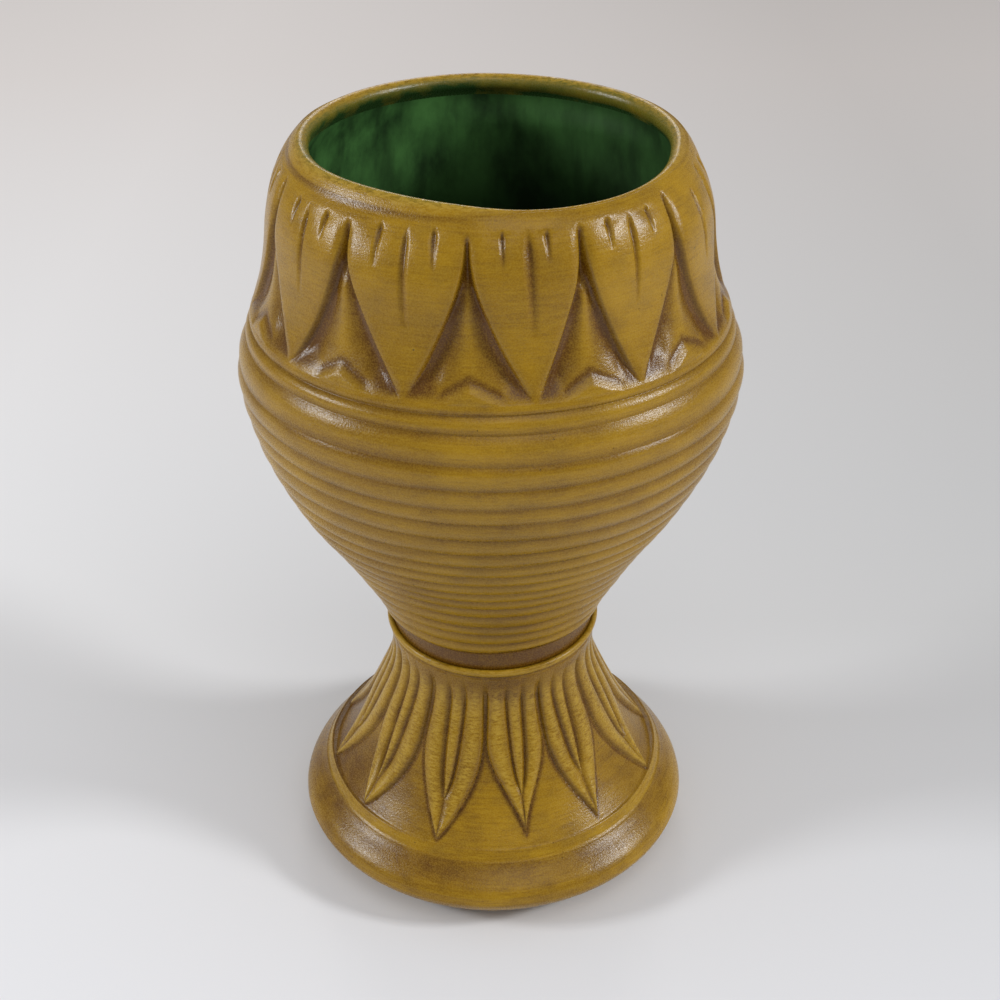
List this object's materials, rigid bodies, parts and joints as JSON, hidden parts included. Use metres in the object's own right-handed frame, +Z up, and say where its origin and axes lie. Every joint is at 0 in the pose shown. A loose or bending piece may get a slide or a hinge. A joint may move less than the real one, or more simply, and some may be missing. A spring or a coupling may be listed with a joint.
{
  "type": "chalice vase",
  "caption": "Glazed ceramic chalice vase: a ribbed bowl with a leaf frieze on a flared, leafed foot, lined with green glaze.",
  "frame": {"origin": "centre of the flat ring that the foot rests on, on the table", "axes": "+Z up along the axis that the vase turns about; -Y towards the side that the picture shows"},
  "size_m": [0.1424, 0.1422, 0.232],
  "materials": {
    "ochre_glaze": "satin mustard glaze with a brown stain wiped into its recesses",
    "foot_glaze": "satin mustard glaze with a heavier brown stain",
    "clay_slip": "fired, unglazed",
    "green_glaze": "glossy mottled dark green glaze"
  },
  "bodies": {
    "root": {"bowl": "ochre_glaze", "pedestal_foot": "foot_glaze", "slip_joint": "clay_slip", "glaze_lining": "green_glaze"}
  },
  "joints": []
}
